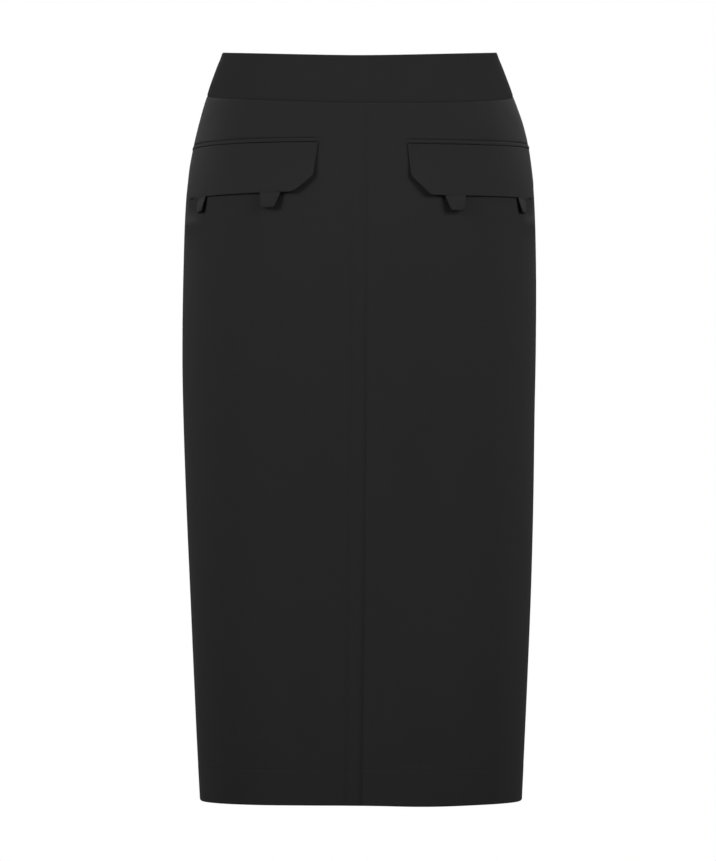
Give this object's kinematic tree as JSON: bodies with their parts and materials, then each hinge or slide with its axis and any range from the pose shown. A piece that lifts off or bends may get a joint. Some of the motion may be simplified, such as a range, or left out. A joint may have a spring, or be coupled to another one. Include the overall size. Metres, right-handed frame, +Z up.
{
  "type": "pencil skirt",
  "caption": "Hollow midi pencil skirt in plain dark cloth, with a wide shaped waistband, flap pockets with small tabs, a front seam, and a back zip and walking slit.",
  "frame": {"origin": "middle of the waistband: on the line between the side seams, half way up the band at them", "axes": "+Z up along the skirt, -Y the front, -X the left side as seen from the front"},
  "size_m": [0.3374, 0.2405, 0.7131],
  "materials": {
    "cloth": "matte twill, soft black",
    "zip_tape": "matte knitted tape, black",
    "zip_metal": "satin black"
  },
  "bodies": {
    "skirt": {"front_panel_left": "cloth", "front_panel_right": "cloth", "back_panel_left": "cloth", "back_panel_right": "cloth", "waistband_front": "cloth", "waistband_back_left": "cloth", "waistband_back_right": "cloth", "welt_left": "cloth", "welt_right": "cloth", "flap_left": "cloth", "flap_right": "cloth", "tab_inner_left": "cloth", "tab_outer_left": "cloth", "tab_inner_right": "cloth", "tab_outer_right": "cloth", "zip_tape_left": "zip_tape", "zip_tape_right": "zip_tape", "zip_slider": "zip_metal"},
    "pull_tab": {"zip_pull": "zip_metal"}
  },
  "joints": [
    {"name": "pull_tab_swing", "type": "hinge", "parent": "skirt", "child": "pull_tab", "pos_m": [0, 0.10278, 0.00758], "axis": [1, 0, 0], "range_deg": [0, 150]}
  ]
}
